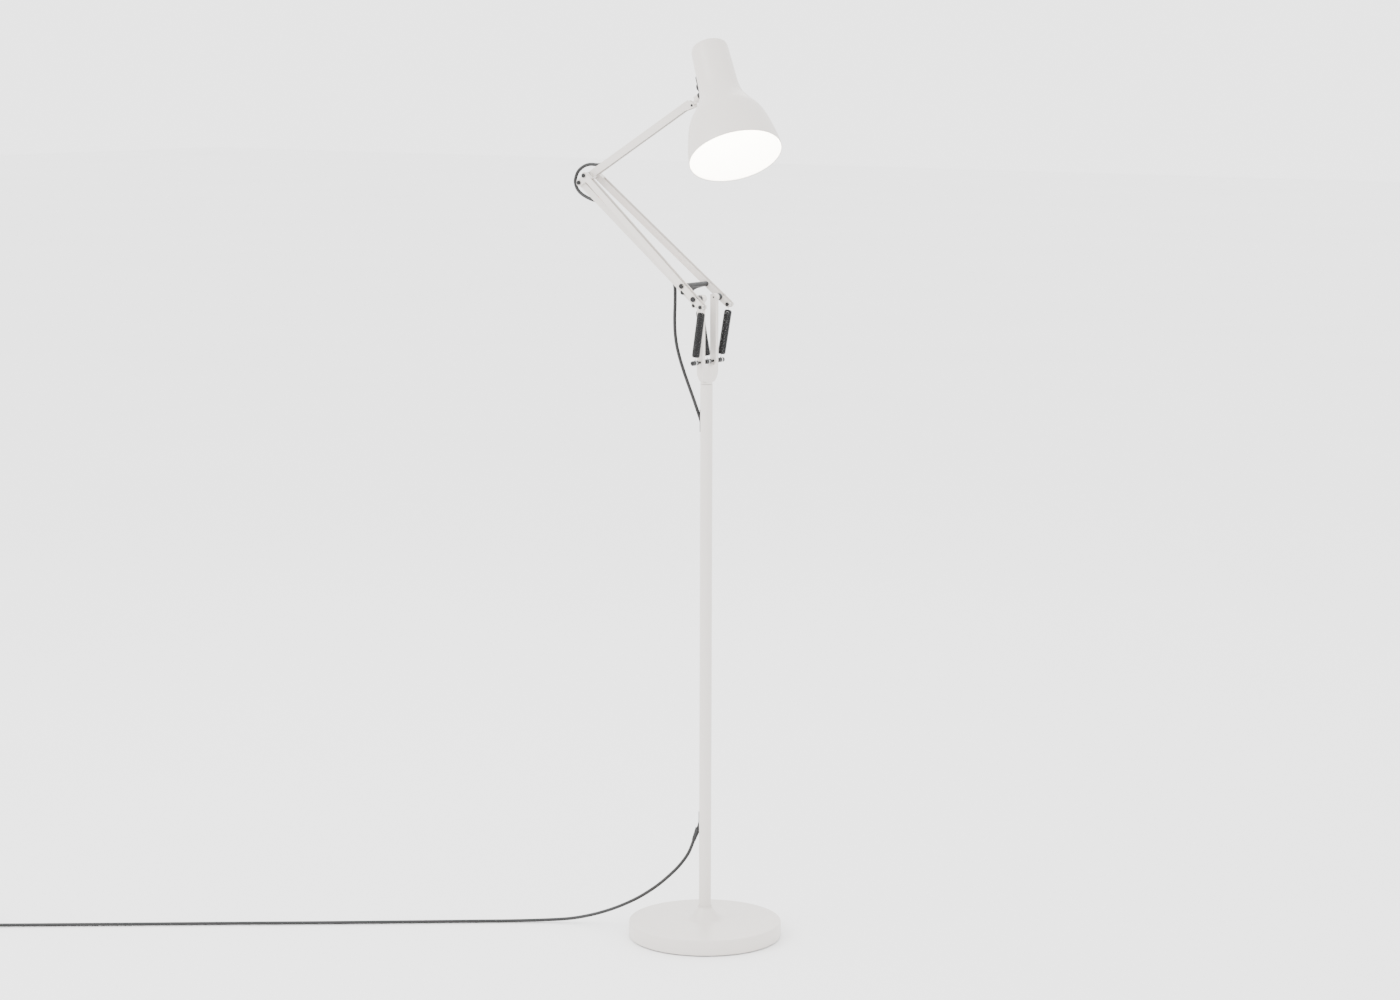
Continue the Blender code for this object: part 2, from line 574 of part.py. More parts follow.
def make_link():
    link = plate("link_bar", stadium(0, LOWER_LENGTH, BAR_HEIGHT / 2), BAR_WIDTH, LINK_FRAME, at(), WHITE_PAINT)
    inside = BAR_WIDTH - 2 * BAR_WALL
    groove = block("link_groove", (LOWER_LENGTH + 40 * MM, inside, BAR_HEIGHT), LINK_FRAME,
                   at(LOWER_LENGTH / 2, 0, -BAR_WALL), None)
    lower_slot = block("link_lower_slot", (66 * MM, 7.2 * MM, 8 * MM), LINK_FRAME, at(76 * MM, 0, BAR_HEIGHT / 2), None)
    upper_slot = block("link_upper_slot", (38 * MM, 7.2 * MM, 8 * MM), LINK_FRAME, at(287.5 * MM, 0, BAR_HEIGHT / 2), None)
    hook_slot = block("link_hook_slot", (24 * MM, inside, 2 * BAR_HEIGHT), LINK_FRAME, at(0, 0, 0), None)
    cut(link, groove, lower_slot, upper_slot, hook_slot)
    for label, x, z in (("lower", 0, 0), ("clamp", CLAMP_X, CLAMP_Z), ("upper", LOWER_LENGTH, 0)):
        cut(link, hole_y("link_hole_" + label, SMALL_BOLT + GAP, x, z, LINK_FRAME, length=30 * MM))
    block("link_strip", (238 * MM, inside - 2 * GAP, 0.8 * MM), LINK_FRAME, at(165 * MM, 0, -4.9 * MM), RED_STRIP)
    grip = BAR_WIDTH / 2 + GAP
    bolt("cord_clamp_bolt", SMALL_BOLT, -grip, grip, 4.4 * MM, 3.4 * MM, LINK_FRAME, along_y(at(CLAMP_X, 0, CLAMP_Z)),
         BLACK_STEEL, grip_end=grip)


def make_upper_arm():
    low = -UPPER_HEIGHT / 2
    outline = (
        [(235 * MM, low)] + arc(TILT_X, TILT_Z, 4.7 * MM, -90, 45, 6)
        + [(250.5 * MM, -low)] + arc(0, 0, -low, 90, 270, 8)
    )
    arm = plate("upper_arm", outline, BAR_WIDTH, UPPER_FRAME, at(), WHITE_PAINT)
    inside = BAR_WIDTH - 2 * BAR_WALL
    start = 9 * MM
    end = 300 * MM
    groove = block("upper_groove", (end - start, inside, UPPER_HEIGHT), UPPER_FRAME,
                   at((start + end) / 2, 0, -BAR_WALL), None)
    top_notch = block("upper_end_notch", (60 * MM, inside, 40 * MM), UPPER_FRAME, at(242 * MM + 30 * MM, 0, 0), None)
    cord_slot = block("upper_cord_slot", (24 * MM, 7.2 * MM, 8 * MM), UPPER_FRAME, at(31 * MM, 0, -low), None)
    cut(arm, groove, top_notch, cord_slot, hole_y("upper_elbow_hole", BIG_BOLT + GAP, 0, 0, UPPER_FRAME),
        hole_y("upper_tilt_hole", SMALL_BOLT + GAP, TILT_X, TILT_Z, UPPER_FRAME))
    bolt("arm_end_pin", SMALL_BOLT, -BAR_WIDTH / 2 - GAP, BAR_WIDTH / 2 + GAP, 2.3 * MM, 1.4 * MM, UPPER_FRAME,
         along_y(at(TILT_X, 0, TILT_Z)), BLACK_STEEL, grip_end=BAR_WIDTH / 2 + GAP)
    make_cranks()


def make_cranks():
    """The two cheeks behind the elbow that carry the link's upper pin."""
    place = Matrix.Translation(ELBOW) @ Matrix.Rotation(-math.atan2(CRANK.z, CRANK.x), 4, "Y")
    for side, sign in (("near", -1), ("far", 1)):
        middle = sign * (BAR_WIDTH / 2 + GAP + 2 * MM)
        cheek = plate("crank_" + side, stadium(0, CRANK.length, 6.3 * MM), 4 * MM, None,
                      place @ at(0, middle, 0), WHITE_PAINT)
        cut(cheek, hole_y("crank_elbow_hole_" + side, BIG_BOLT + GAP, ELBOW.x, ELBOW.z, None),
            hole_y("crank_pin_hole_" + side, SMALL_BOLT + GAP, ELBOW.x + CRANK.x, ELBOW.z + CRANK.z, None))
    grip = BAR_WIDTH / 2 + 4.6 * MM
    bolt("link_upper_pin", SMALL_BOLT, -grip, grip, 3.8 * MM, 3.6 * MM, LINK_FRAME, along_y(at(LOWER_LENGTH, 0, 0)),
         BLACK_STEEL, grip_end=grip)


def make_spring(name, top, bottom):
    """The outer shape of a close-wound spring, with a ring at each end round its bolt."""
    direction = (top - bottom).normalized()
    turn = direction.to_track_quat("Z", "Y").to_matrix().to_4x4()
    middle = (top + bottom) / 2
    half = SPRING_LENGTH / 2
    body = [(0, half), (SPRING_RADIUS - 1 * MM, half), (SPRING_RADIUS, half - 1 * MM), (SPRING_RADIUS, 1 * MM - half),
            (SPRING_RADIUS - 1 * MM, -half), (0, -half)]
    spring = turned(name, body, None, Matrix.Translation(middle) @ turn, BLACK_STEEL, steps=16)
    for label, end, sign, ring in (("top", top, 1, TOP_HOOK), ("bottom", bottom, -1, BOTTOM_HOOK)):
        hook = torus(name + "_ring_" + label, ring, HOOK_WIRE, None, along_y(Matrix.Translation(end)), None)
        inner = middle + direction * sign * (half - 1 * MM)
        outer = end - direction * sign * (ring - 0.2 * MM)
        stem = cylinder(name + "_stem_" + label, HOOK_WIRE, (outer - inner).length, None,
                        Matrix.Translation((inner + outer) / 2) @ turn, None, sides=8)
        join(spring, hook, stem)


def make_springs():
    tail = LOWER_FRAME.matrix_local @ Vector((SPRING_BOLT_X, 0, 0))
    for side, sign in (("near", -1), ("far", 1)):
        top = Vector((tail.x, sign * bar_spread(SPRING_BOLT_X), tail.z))
        make_spring("spring_" + side, top, ANCHOR + Vector((0, sign * SPRING_SPREAD, 0)))
    make_spring("spring_middle", PIVOT + CRANK, ANCHOR.copy())


def make_knuckle():
    """The tilting joint: an eye in the arm's fork, and a spigot on the line that the shade turns about."""
    line = -TILT_Z
    eye = cylinder("tilt_knuckle", 4.4 * MM, 7 * MM, HEAD_FRAME, along_y(at()), WHITE_PAINT)
    neck = block("knuckle_neck", (13 * MM, 6.8 * MM, 6 * MM), HEAD_FRAME, at(6 * MM, 0, 2.6 * MM), None)
    collar = cylinder("knuckle_collar", 6.3 * MM, 9.2 * MM, HEAD_FRAME, along_x(at(14.3 * MM, 0, line)), None)
    spigot = cylinder("knuckle_spigot", 3.4 * MM, 8 * MM, HEAD_FRAME, along_x(at(21.5 * MM, 0, line)), None, sides=20)
    join(eye, neck, collar, spigot)
    cut(eye, cylinder("knuckle_hole", SMALL_BOLT + GAP, 40 * MM, HEAD_FRAME, along_y(at()), None, sides=20))


NECK_PROFILE = [(30.6, 74.4), (32.0, 70), (32.4, 62), (33.2, 38), (34.1, 4), (35.2, -12), (37.6, -24), (42.5, -36), (51.5, -51), (59.5, -63),
                (66.0, -76), (71.6, -94), (76.3, -114), (78.8, -128), (80.2, -140), (80.5, -145)]


def make_shade():
    wall = 1.2
    outer = [(0, 76), (27.5, 76)] + NECK_PROFILE + [(80.1, -146)]
    inner = [(r - wall, z) for r, z in reversed(NECK_PROFILE[1:])]
    profile = outer + [(79.5, -146)] + inner + [(29.4, 73.4), (27.2, 74.8), (0, 74.8)]
    turned("shade", [(r * MM, z * MM) for r, z in profile], SHADE_FRAME, at(), WHITE_PAINT, steps=40)
    holder = [(0, 74.4), (17, 74.4), (17, 40), (19, 39), (19, 33), (17, 31), (17, 24), (13.6, 24), (13.6, 50), (0, 50)]
    turned("lampholder", [(r * MM, z * MM) for r, z in holder], SHADE_FRAME, at(), BLACK_PLASTIC, steps=24)
    globe = [(0, 49), (10, 49), (13, 46), (13, 22), (14, 16), (18, 4), (24, -10), (28.5, -22), (30, -34), (28.4, -46),
             (22, -56), (12, -62), (0, -64)]
    turned("bulb", [(r * MM, z * MM) for r, z in globe], SHADE_FRAME, at(), OPAL_GLASS, steps=24)


def make_mount():
    """A moulded pad on the neck with a boss for the knuckle, and the rocker above it."""
    front = -MOUNT_RADIUS - 0.2 * MM
    pad = block("shade_mount", (5.2 * MM, 19 * MM, 44 * MM), SHADE_FRAME, at(front - 0.8 * MM, 0, 12 * MM), BLACK_PLASTIC)
    bevel = pad.modifiers.new("Bevel", "BEVEL")
    bevel.width = 1.6 * MM
    bevel.segments = 2
    boss = cylinder("mount_boss", 7 * MM, 8 * MM, SHADE_FRAME, along_x(at(-39.8 * MM, 0, 0)), None)
    bump = cylinder("mount_bump", 3.6 * MM, 5 * MM, SHADE_FRAME, along_x(at(-37.8 * MM, 0, 30 * MM)), None, sides=16)
    join(pad, boss, bump)
    room = cylinder("mount_bore", 3.4 * MM + GAP, 8.6 * MM, SHADE_FRAME, along_x(at(-41.3 * MM, 0, 0)), None, sides=20)
    neck = [(r * MM + GAP, z * MM) for r, z in NECK_PROFILE[1:9]]
    neck_room = turned("neck_room", [(0, 71 * MM)] + neck + [(0, -51 * MM)], SHADE_FRAME, at(), None, steps=48)
    cut(pad, room, neck_room)
    dome = [(0, 6.2), (3.4, 5.6), (5.8, 3.8), (7.0, 1.2), (7.0, 0), (0, 0)]
    place = at(-38.9 * MM, 0, 16.8 * MM) @ Matrix.Rotation(math.radians(-90), 4, "Y")
    rocker = turned("switch_rocker", [(r * MM, z * MM) for r, z in dome], SHADE_FRAME, place, BLACK_PLASTIC, steps=24)
    rocker.scale = (1.2, 1.0, 1.0)


def link_point(x, z):
    """A point of the link's frame, in world coordinates; z grows towards the link's underside."""
    return LINK_FRAME.matrix_local @ Vector((x * MM, 0, z * MM))


def upper_point(x, z):
    return UPPER_FRAME.matrix_local @ Vector((x * MM, 0, z * MM))


def world(*coordinates):
    return Vector(coordinates) * MM


def make_held_cords():
    """The stretches that the lamp holds: in the upper arm, round the elbow, in the link, to the pole and inside it."""
    step = 2.6 * 2 * CORD_RADIUS
    tube("arm_cord", [upper_point(46.4, 1), upper_point(110, 1), upper_point(180, 1), upper_point(238, 1)], step)
    elbow = [upper_point(45.5, 1), upper_point(42, 1.05), upper_point(37, 2.0), upper_point(30, 4.9), upper_point(22, 8.4),
             world(-254, 0, 1364.6), world(-268.5, 0, 1360), world(-280.5, 0, 1350.4), world(-286.3, 0, 1335),
             world(-282.5, 0, 1321.8), world(-272.8, 0, 1312.5), world(-260, 0, 1306.2), link_point(291, 9.5),
             link_point(283, 5.2), link_point(276.5, 2.2), link_point(272.5, 1.1), link_point(269, 1)]
    tube("elbow_cord", elbow, 1.5 * 2 * CORD_RADIUS)
    tube("link_cord", [link_point(268.1, 1), link_point(200, 1), link_point(140, 1), link_point(80.9, 1)], step)
    loop = [link_point(80, 1), link_point(76.5, 1.05), link_point(70.5, 2.0), link_point(64.5, 4.2),
            world(-68.6, 0, 1158.5), world(-67.6, 0, 1150), world(-67.6, 0, 1128), world(-68.4, 0, 1103), world(-67.6, 0, 1078),
            world(-64, 0, 1054.5), world(-57, 0, 1031), world(-48, 0, 1008), world(-37.5, 0, 984),
            world(-26.8, 0, 960.2), world(-18.2, 0, 940)]
    tube("arm_loop", loop, 1.8 * 2 * CORD_RADIUS)
    inside = [world(-18.05, 0, 939.6), world(-9.5, 0, 920), world(-3, 0, 900), world(-1, 0, 860), world(0, 0, 760),
              world(0, 0, 560), world(0, 0, 380), world(-0.5, 0, 280), world(-3.2, 0, 236), world(-9.5, 0, 209),
              world(-14, -0.2, 197)]
    tube("pole_cord", inside, 4 * 2 * CORD_RADIUS)


def make_free_cord():
    start = COIL_CENTRE - SIDE_DIRECTION * 36 * MM - RUN_DIRECTION * 23.4 * MM
    run = [world(-14.25, -0.25, 196.3), world(-20.5, -1.2, 180), world(-31.8, -4.4, 149), world(-46.3, -9, 126),
           world(-64, -14, 105.8), world(-89, -22, 82), world(-118, -31.5, 60), world(-147, -41, 42.8),
           world(-176, -51, 29), world(-208, -62.5, 17.2), world(-243, -78, 8.4), world(-284, -102.5, 4.4),
           world(-331, -138, 3.2), world(-385, -180, 3.2), world(-497, -267, 3.2), world(-611, -355, 3.2),
           world(-726, -442, 3.2), world(-840, -529, 3.2), world(-954, -616, 3.2), world(-1061, -697.5, 3.4),
           Vector((start.x, start.y, 4.9 * MM))]
    tube("mains_cord", run, 18 * MM)
    inner = COIL_MEAN - COIL_HALF_WIDTH
    outer = COIL_MEAN + COIL_HALF_WIDTH
    top = COIL_BOTTOM + COIL_HEIGHT
    ring = [(inner, top), (outer, top), (outer, COIL_BOTTOM), (inner, COIL_BOTTOM)]
    turned("cord_coil", ring, None, Matrix.Translation(COIL_CENTRE), FABRIC_BLACK, steps=32, closed=True)
    turn = Matrix.Rotation(math.atan2(SIDE_DIRECTION.y, SIDE_DIRECTION.x), 4, "Z")
    middle = Matrix.Translation(COIL_CENTRE) @ turn @ at(COIL_MEAN, 0, COIL_BOTTOM + COIL_HEIGHT / 2)
    clear = 1.1 * MM
    size = (2 * (COIL_HALF_WIDTH + clear), 9 * MM, COIL_HEIGHT + 2 * clear)
    tie = block("cord_tie", (size[0] + 0.8 * MM, size[1], size[2] + 0.8 * MM), None, middle, BLACK_PLASTIC)
    cut(tie, block("tie_opening", (size[0] - 0.8 * MM, 30 * MM, size[2] - 0.8 * MM), None, middle, None))
    make_plug()


def make_plug():
    """A flat two-pin plug with a tapered strain relief, lying beside the coil."""
    direction = SIDE_DIRECTION
    tail = COIL_CENTRE - Vector((0.78, 0.626, 0)) * 36 * MM + direction * 23.4 * MM
    height = 8.2 * MM
    turn = Matrix.Rotation(math.atan2(direction.y, direction.x), 4, "Z")
    place = Matrix.Translation((tail.x, tail.y, height)) @ turn
    outline = [(0, -3.8), (22, -5), (30, -12), (40, -15.5), (58, -16.5), (58, 16.5), (40, 15.5), (30, 12), (22, 5), (0, 3.8)]
    body = plate("plug", [(x * MM, y * MM) for x, y in outline], 13 * MM, None,
                 place @ Matrix.Rotation(math.radians(-90), 4, "X"), BLACK_PLASTIC)
    thin = plate("plug_side", [(-1 * MM, -3.8 * MM), (22 * MM, -4.4 * MM), (32 * MM, -6.4 * MM), (60 * MM, -6.4 * MM),
                               (60 * MM, 6.4 * MM), (32 * MM, 6.4 * MM), (22 * MM, 4.4 * MM), (-1 * MM, 3.8 * MM)],
                 60 * MM, None, place, None)
    boolean(body, thin, "INTERSECT")
    for label, sign in (("near", -1), ("far", 1)):
        pin = cylinder("plug_pin_" + label, 2 * MM, 21 * MM, None, place @ along_x(at(66 * MM, sign * 9.5 * MM, 0)), None, sides=12)
        join(body, pin)


make_base()
make_pole()
make_fork()
make_anchors()
make_lower_arm()
make_lever()
make_link()
make_upper_arm()
make_springs()
make_knuckle()
make_shade()
make_mount()
make_held_cords()
make_free_cord()
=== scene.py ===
"""Visual model and studio scene of the adjustable arm floor lamp."""

import bpy
import json
import math
from mathutils import Matrix, Quaternion, Vector

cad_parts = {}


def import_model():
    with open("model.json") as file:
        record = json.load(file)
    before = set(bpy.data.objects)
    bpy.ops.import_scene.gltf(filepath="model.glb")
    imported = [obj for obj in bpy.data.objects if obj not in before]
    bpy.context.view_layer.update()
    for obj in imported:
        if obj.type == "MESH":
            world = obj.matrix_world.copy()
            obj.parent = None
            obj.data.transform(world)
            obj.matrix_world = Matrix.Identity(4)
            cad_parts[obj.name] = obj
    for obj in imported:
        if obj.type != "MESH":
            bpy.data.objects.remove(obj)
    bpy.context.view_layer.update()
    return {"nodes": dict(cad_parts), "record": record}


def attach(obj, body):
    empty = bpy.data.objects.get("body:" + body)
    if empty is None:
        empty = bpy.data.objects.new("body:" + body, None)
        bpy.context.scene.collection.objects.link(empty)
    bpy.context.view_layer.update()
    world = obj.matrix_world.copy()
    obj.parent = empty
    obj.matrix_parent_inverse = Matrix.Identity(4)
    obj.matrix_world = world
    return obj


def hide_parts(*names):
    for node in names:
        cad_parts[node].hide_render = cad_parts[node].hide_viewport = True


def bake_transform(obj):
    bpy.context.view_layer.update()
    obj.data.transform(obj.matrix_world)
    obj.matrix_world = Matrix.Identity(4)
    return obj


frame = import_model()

MM = 0.001

# Camera, in the row frame.
CAMERA_PLACE = Vector((3.1203, -4.4562, 1.5799))
CAMERA_AIM = Vector((-0.00889, -0.00622, 0.7858))
CAMERA_ROLL = math.radians(0.163)
LENS = 80.72

# Places and lengths are the CAD's. The wound wire lies inside the CAD's plain spring.
CORD_RADIUS = 3 * MM
CORD_SIDES = 16
ROUTE_SPACING = 3 * MM
SLEEVE_WIDE = 5.0 * MM
SLEEVE_TAPER = 0.17 * MM
SPRING_WIRE = 0.65 * MM
SPRING_RADIUS = 6.5 * MM
SPRING_LENGTH = 80 * MM
SPRING_PITCH = 1.36 * MM
STEPS_PER_TURN = 14
STEM_OVERLAP = 2.5 * MM
HOOK_WIRE = 0.8 * MM
TOP_HOOK = 3.7 * MM
BOTTOM_HOOK = 4.3 * MM
SPRING_TOPS = {"near": (18.78, -41.0, 1127.7), "far": (18.78, 41.0, 1127.7), "middle": (-17.5, 0, 1127.0)}
SPRING_ANCHORS = {"near": (2.4, -39, 1029.6), "far": (2.4, 39, 1029.6), "middle": (2.4, 0, 1029.6)}
COIL_CENTRE = Vector((-1130, -710, 0)) * MM
COIL_OUTER = 36 * MM
COIL_INNER = 29.8 * MM
COIL_TURNS = 4.25
COIL_LEAD = 23.4 * MM
COIL_ENTRY_HEIGHT = 4.9 * MM
PLUG_HEIGHT = 8.2 * MM
RUN_DIRECTION = Vector((-0.78, -0.626, 0))
SIDE_DIRECTION = Vector((-0.626, 0.78, 0))
SHADE_CENTRE = Vector((22.02, 0, 1508.03)) * MM
SHADE_LINE = Vector((0.8660, 0, 0.5))
SHADE_DOWN = Vector((0.47416, -0.31730, -0.82127))
SHADE_WALL = 1.2
ELBOW = Vector((-250.35, 0, 1345.66)) * MM
LINK_PIN = Vector((-17.5, 0, 1127.0)) * MM

# Shading of facets, and the studio.
SMOOTH_UNDER = math.radians(35)
WELD_DISTANCE = 0.002 * MM
FLOOR_HALF_SIZE = 30
FLOOR_DROP = 0.5 * MM
LIGHT_AIM = (0, 0, 0.9)


# Camera
def make_camera():
    data = bpy.data.cameras.new("camera")
    data.lens = LENS
    data.sensor_width = 36
    data.sensor_fit = "HORIZONTAL"
    data.clip_end = 60
    camera = bpy.data.objects.new("camera", data)
    bpy.context.collection.objects.link(camera)
    sight = (CAMERA_AIM - CAMERA_PLACE).to_track_quat("-Z", "Y")
    camera.location = CAMERA_PLACE
    camera.rotation_mode = "QUATERNION"
    camera.rotation_quaternion = sight @ Quaternion((0, 0, 1), CAMERA_ROLL)
    bpy.context.scene.camera = camera


# Materials
class Graph:
    """A material's node graph, on the object's own coordinates."""

    def __init__(self, name):
        self.material = bpy.data.materials.new(name)
        self.material.use_nodes = True
        self.tree = self.material.node_tree
        self.shader = self.tree.nodes["Principled BSDF"]
        self.coordinates = self.tree.nodes.new("ShaderNodeTexCoord").outputs["Object"]

    def node(self, kind, inputs=None, **settings):
        made = self.tree.nodes.new(kind)
        for key, value in settings.items():
            setattr(made, key, value)
        for key, value in (inputs or {}).items():
            if isinstance(value, bpy.types.NodeSocket):
                self.tree.links.new(value, made.inputs[key])
            else:
                made.inputs[key].default_value = value
        return made

    def noise(self, scale, detail=3.0, stretch=(1, 1, 1)):
        mapping = self.node("ShaderNodeMapping", {"Vector": self.coordinates, "Scale": stretch})
        inputs = {"Vector": mapping.outputs["Vector"], "Scale": scale, "Detail": detail}
        return self.node("ShaderNodeTexNoise", inputs).outputs["Fac"]

    def between(self, factor, low, high):
        inputs = {"Value": factor, "From Min": 0.3, "From Max": 0.7, "To Min": low, "To Max": high}
        return self.node("ShaderNodeMapRange", inputs).outputs["Result"]

    def colours(self, factor, low, high):
        ramp = self.node("ShaderNodeValToRGB", {"Fac": factor})
        ramp.color_ramp.elements[0].position = 0.3
        ramp.color_ramp.elements[1].position = 0.7
        ramp.color_ramp.elements[0].color = (*low, 1)
        ramp.color_ramp.elements[1].color = (*high, 1)
        return ramp.outputs["Color"]

    def bump(self, height, strength, distance):
        inputs = {"Height": height, "Strength": strength, "Distance": distance}
        return self.node("ShaderNodeBump", inputs).outputs["Normal"]

    def finish(self, **sockets):
        for name, value in sockets.items():
            target = self.shader.inputs[name.replace("_", " ").title()]
            if isinstance(value, bpy.types.NodeSocket):
                self.tree.links.new(value, target)
            else:
                target.default_value = value
        return self.material


def tinted(colour, factor):
    return tuple(channel * factor for channel in colour)


def white_paint():
    graph = Graph("white_enamel")
    colour = (0.62, 0.582, 0.545)
    return graph.finish(
        base_color=graph.colours(graph.noise(9, 4), tinted(colour, 0.985), colour),
        roughness=graph.between(graph.noise(60), 0.36, 0.44),
        normal=graph.bump(graph.noise(900, 2), 0.12, 0.0002),
        coat_weight=0.25,
        coat_roughness=0.25,
    )


def black_plastic():
    graph = Graph("moulded_black_plastic")
    return graph.finish(
        base_color=graph.colours(graph.noise(40), (0.003, 0.003, 0.003), (0.006, 0.006, 0.007)),
        roughness=graph.between(graph.noise(120), 0.38, 0.52),
        normal=graph.bump(graph.noise(2600, 2), 0.25, 0.0002),
    )


def black_steel():
    graph = Graph("blackened_steel")
    return graph.finish(
        base_color=graph.colours(graph.noise(160), (0.003, 0.003, 0.003), (0.008, 0.008, 0.009)),
        metallic=0.3,
        roughness=graph.between(graph.noise(300), 0.20, 0.34),
        normal=graph.bump(graph.noise(1500, 2), 0.1, 0.0001),
    )


def bright_steel():
    graph = Graph("plated_steel")
    return graph.finish(
        base_color=graph.colours(graph.noise(220), (0.60, 0.60, 0.61), (0.78, 0.78, 0.78)),
        metallic=1.0,
        roughness=graph.between(graph.noise(500, 3, (1, 1, 9)), 0.18, 0.36),
        normal=graph.bump(graph.noise(900, 3, (1, 1, 12)), 0.12, 0.0001),
    )


def cast_weight():
    graph = Graph("cast_iron")
    return graph.finish(
        base_color=graph.colours(graph.noise(70, 5), (0.07, 0.07, 0.07), (0.16, 0.155, 0.15)),
        metallic=0.5,
        roughness=graph.between(graph.noise(160), 0.6, 0.85),
        normal=graph.bump(graph.noise(350, 5), 0.6, 0.0008),
    )


def cord_cover():
    graph = Graph("flex_cover")
    return graph.finish(
        base_color=graph.colours(graph.noise(300), (0.002, 0.002, 0.002), (0.005, 0.005, 0.005)),
        roughness=graph.between(graph.noise(200), 0.36, 0.5),
        normal=graph.bump(graph.noise(1800, 2), 0.3, 0.0002),
    )


def red_strip():
    graph = Graph("woven_red_strip")
    inputs = {"Vector": graph.coordinates, "Scale": 420.0, "Distortion": 0.4}
    threads = graph.node("ShaderNodeTexWave", inputs).outputs["Fac"]
    return graph.finish(
        base_color=graph.colours(threads, (0.50, 0.06, 0.03), (0.78, 0.13, 0.07)),
        roughness=graph.between(graph.noise(400), 0.5, 0.7),
        normal=graph.bump(threads, 0.4, 0.0002),
    )


def opal_glass():
    graph = Graph("lit_opal_glass")
    glow = graph.colours(graph.noise(14), (1.0, 0.93, 0.80), (1.0, 0.96, 0.88))
    return graph.finish(
        base_color=(0.95, 0.93, 0.88, 1),
        roughness=graph.between(graph.noise(60), 0.2, 0.3),
        emission_color=glow,
        emission_strength=12.0,
    )


# Painted glow: the shade's inner enamel is given its own warm emission, which stands in for the bulb's light
# falling on it.
def painted_glow_enamel():
    graph = Graph("inner_enamel_painted_glow")
    return graph.finish(
        base_color=graph.colours(graph.noise(9), (0.86, 0.84, 0.80), (0.88, 0.86, 0.82)),
        roughness=graph.between(graph.noise(60), 0.42, 0.55),
        normal=graph.bump(graph.noise(900, 2), 0.1, 0.0002),
        emission_color=(1.0, 0.96, 0.88, 1),
        emission_strength=5.0,
    )


FINISHES = {make.__name__: make() for make in (
    white_paint, black_plastic, black_steel, bright_steel, cast_weight, cord_cover, red_strip, opal_glass)}
PAINTED_GLOW_ENAMEL = painted_glow_enamel()


def smooth_group():
    """A node group that welds the facets' corners and shades every slight edge smooth."""
    group = bpy.data.node_groups.new("smooth_edges", "GeometryNodeTree")
    group.interface.new_socket("Geometry", in_out="INPUT", socket_type="NodeSocketGeometry")
    group.interface.new_socket("Geometry", in_out="OUTPUT", socket_type="NodeSocketGeometry")
    start = group.nodes.new("NodeGroupInput")
    weld = group.nodes.new("GeometryNodeMergeByDistance")
    weld.inputs["Distance"].default_value = WELD_DISTANCE
    faces = group.nodes.new("GeometryNodeSetShadeSmooth")
    edges = group.nodes.new("GeometryNodeSetShadeSmooth")
    edges.domain = "EDGE"
    angle = group.nodes.new("GeometryNodeInputMeshEdgeAngle")
    less = group.nodes.new("ShaderNodeMath")
    less.operation = "LESS_THAN"
    less.inputs[1].default_value = SMOOTH_UNDER
    end = group.nodes.new("NodeGroupOutput")
    links = group.links
    links.new(start.outputs[0], weld.inputs["Geometry"])
    links.new(weld.outputs["Geometry"], faces.inputs["Geometry"])
    links.new(faces.outputs["Geometry"], edges.inputs["Geometry"])
    links.new(angle.outputs["Unsigned Angle"], less.inputs[0])
    links.new(less.outputs[0], edges.inputs["Shade Smooth"])
    links.new(edges.outputs["Geometry"], end.inputs[0])
    return group


def finish_cad_nodes():
    """Gives every CAD node its detailed material and smooth shading."""
    group = smooth_group()
    for row in frame["record"]["subparts"]:
        node = frame["nodes"][row["node"]]
        material = FINISHES[row["material_slot"]]
        if not node.material_slots:
            node.data.materials.append(material)
        for slot in node.material_slots:
            slot.material = material
        node.modifiers.new("smooth_edges", "NODES").node_group = group


# Mesh helpers
def add_mesh(name, vertices, faces, materials, indices=None):
    mesh = bpy.data.meshes.new(name)
    mesh.from_pydata(vertices, [], faces)
    for material in materials:
        mesh.materials.append(material)
    if indices:
        mesh.polygons.foreach_set("material_index", indices)
    mesh.polygons.foreach_set("use_smooth", [True] * len(mesh.polygons))
    mesh.update()
    piece = bpy.data.objects.new(name, mesh)
    bpy.context.collection.objects.link(piece)
    return piece


def smooth_route(points, spacing):
    """Points at about the spacing along a smooth curve through the route's own points."""
    ends = [points[0] * 2 - points[1]] + list(points) + [points[-1] * 2 - points[-2]]
    fine = []
    for a, b, c, d in zip(ends, ends[1:], ends[2:], ends[3:]):
        for i in range(24):
            t = i / 24
            fine.append(
                (b * 2 + (c - a) * t + (a * 2 - b * 5 + c * 4 - d) * t * t
                 + (b * 3 - a - c * 3 + d) * t ** 3) / 2
            )
    fine.append(points[-1])
    travelled = [0.0]
    for a, b in zip(fine, fine[1:]):
        travelled.append(travelled[-1] + (b - a).length)
    count = max(3, round(travelled[-1] / spacing))
    route = []
    index = 0
    for i in range(count + 1):
        target = travelled[-1] * i / count
        while index < len(fine) - 2 and travelled[index + 1] < target:
            index += 1
        share = (target - travelled[index]) / (travelled[index + 1] - travelled[index])
        route.append(fine[index].lerp(fine[index + 1], share))
    return route


def directions(route):
    """The direction of a route at each of its points."""
    wide = [route[0]] + list(route) + [route[-1]]
    return [(b - a).normalized() for a, b in zip(wide, wide[2:])]


